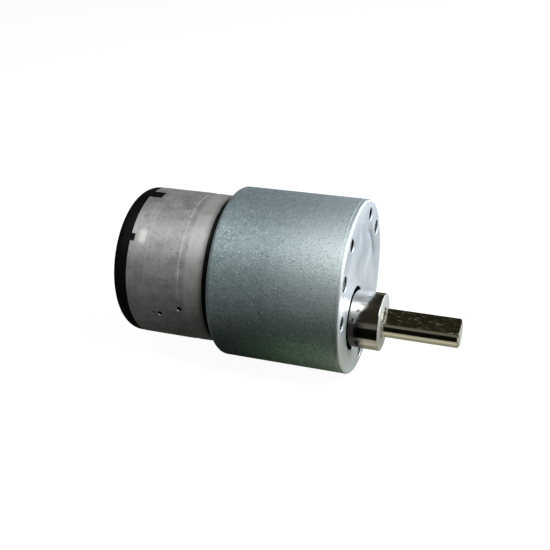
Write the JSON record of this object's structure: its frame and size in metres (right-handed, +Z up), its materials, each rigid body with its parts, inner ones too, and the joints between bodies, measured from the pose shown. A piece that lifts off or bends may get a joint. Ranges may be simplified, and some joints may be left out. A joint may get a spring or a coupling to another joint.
{
  "type": "geared dc motor",
  "caption": "Cylindrical spur-geared DC motor with a threaded flat mounting face and an offset D-shaped output shaft that its motor drives through the gear train.",
  "frame": {"origin": "centre of the round mounting face, on the common axis of the gearbox and the motor", "axes": "+X along the output shaft, out of the mounting face; +Z up as the motor lies; +Y completes a right-handed frame"},
  "size_m": [0.0749, 0.037, 0.037],
  "materials": {
    "gearbox_case": "zinc-plated drawn steel, fine speckled texture, semi-matt",
    "front_plate": "bright satin zinc plate",
    "boss": "polished, fine turned marks",
    "shaft": "ground and polished steel",
    "screws": "bright zinc-plated steel",
    "gear_steel": "hobbed steel, lightly oiled",
    "brass": "machined brass, satin",
    "bronze": "sintered bronze, matt",
    "spring_bronze": "phosphor bronze strip, satin",
    "motor_can": "drawn steel, plated, semi-matt with light handling marks",
    "rear_cap": "moulded black plastic, fine grain",
    "magnet": "sintered ferrite, matt",
    "laminations": "stacked steel sheet",
    "copper": "enamelled copper wire, glossy",
    "carbon": "carbon brush, matt",
    "spring_steel": "spring steel strip",
    "tin": "tinned brass tab, satin",
    "insulator": "nylon washer"
  },
  "bodies": {
    "housing": {"gearbox_case": "gearbox_case", "front_plate": "front_plate", "rear_plate": "gear_steel", "output_bush": "boss", "output_rear_bush": "bronze", "post_1": "screws", "post_2": "screws", "post_3": "screws", "cover_screw_1": "screws", "cover_screw_2": "screws", "cover_screw_3": "screws", "motor_screw_1": "screws", "motor_screw_2": "screws", "stud_a": "gear_steel", "stud_b": "gear_steel", "stud_c": "gear_steel", "spacer_a": "brass", "spacer_b_rear": "brass", "spacer_b_front": "brass", "spacer_c": "brass", "motor_can": "motor_can", "rear_cap": "rear_cap", "motor_front_bush": "bronze", "motor_rear_bush": "bronze", "magnet_1": "magnet", "magnet_2": "magnet", "magnet_clip_1": "spring_steel", "magnet_clip_2": "spring_steel", "terminal_1": "tin", "terminal_2": "tin", "brush_arm_1": "spring_bronze", "brush_arm_2": "spring_bronze", "brush_1": "carbon", "brush_2": "carbon"},
    "output": {"output_shaft": "shaft", "output_gear": "gear_steel", "thrust_washer": "gear_steel"},
    "stage_1": {"stage_1_wheel": "brass", "stage_1_pinion": "gear_steel"},
    "stage_2": {"stage_2_wheel": "brass", "stage_2_pinion": "gear_steel"},
    "stage_3": {"stage_3_wheel": "brass", "stage_3_pinion": "gear_steel"},
    "stage_4": {"stage_4_wheel": "brass", "stage_4_pinion": "gear_steel"},
    "stage_5": {"stage_5_wheel": "brass", "stage_5_pinion": "gear_steel"},
    "rotor": {"motor_shaft": "shaft", "motor_pinion": "brass", "rotor_core": "laminations", "coil_1": "copper", "coil_2": "copper", "coil_3": "copper", "commutator": "copper", "rotor_washer": "insulator"}
  },
  "joints": [
    {"name": "output_spin", "type": "hinge", "parent": "housing", "child": "output", "pos_m": [0.01, -0.00536, -0.0045], "axis": [1, 0, 0], "continuous": true},
    {"name": "stage_1_spin", "type": "hinge", "parent": "housing", "child": "stage_1", "pos_m": [-0.0221, 0.00898, 0.00057], "axis": [1, 0, 0], "continuous": true},
    {"name": "stage_2_spin", "type": "hinge", "parent": "housing", "child": "stage_2", "pos_m": [-0.01865, 0.004, 0.00806], "axis": [1, 0, 0], "continuous": true},
    {"name": "stage_3_spin", "type": "hinge", "parent": "housing", "child": "stage_3", "pos_m": [-0.0152, -0.00498, 0.00749], "axis": [1, 0, 0], "continuous": true},
    {"name": "stage_4_spin", "type": "hinge", "parent": "housing", "child": "stage_4", "pos_m": [-0.01175, 0.004, 0.00806], "axis": [1, 0, 0], "continuous": true},
    {"name": "stage_5_spin", "type": "hinge", "parent": "housing", "child": "stage_5", "pos_m": [-0.0083, -0.00498, 0.00749], "axis": [1, 0, 0], "continuous": true},
    {"name": "rotor_spin", "type": "hinge", "parent": "housing", "child": "rotor", "pos_m": [-0.036, 0, 0], "axis": [1, 0, 0], "continuous": true}
  ],
  "couplings": [
    {"joint": "stage_5_spin", "follows": "output_spin", "ratio": -3},
    {"joint": "stage_4_spin", "follows": "output_spin", "ratio": 6},
    {"joint": "stage_3_spin", "follows": "output_spin", "ratio": -12},
    {"joint": "stage_2_spin", "follows": "output_spin", "ratio": 24},
    {"joint": "stage_1_spin", "follows": "output_spin", "ratio": -48},
    {"joint": "rotor_spin", "follows": "output_spin", "ratio": 96}
  ]
}
